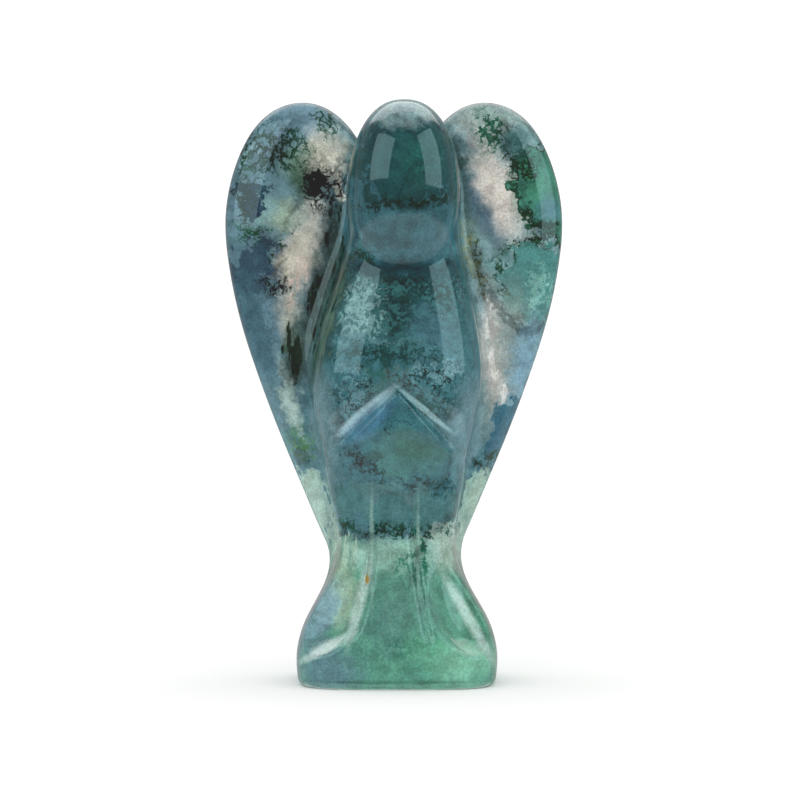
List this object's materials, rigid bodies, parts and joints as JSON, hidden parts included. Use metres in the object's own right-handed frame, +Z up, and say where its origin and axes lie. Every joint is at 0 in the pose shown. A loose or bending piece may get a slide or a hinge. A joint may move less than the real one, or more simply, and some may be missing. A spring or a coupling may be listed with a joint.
{
  "type": "angel figurine",
  "caption": "Carved angel figurine in polished see-through stone, with an egg-shaped head, praying hands, leaf-shaped wings and a flared gown that stands on a flat underside.",
  "frame": {"origin": "middle of the flat underside", "axes": "+Z up from the underside to the wing tops, -Y the way the angel faces, +X to the viewer's right when the angel is seen from the front"},
  "size_m": [0.0292, 0.0154, 0.0501],
  "materials": {
    "agate": "polished moss agate, see-through in places, with green and dark inclusions"
  },
  "bodies": {
    "root": {"angel": "agate"}
  },
  "joints": []
}
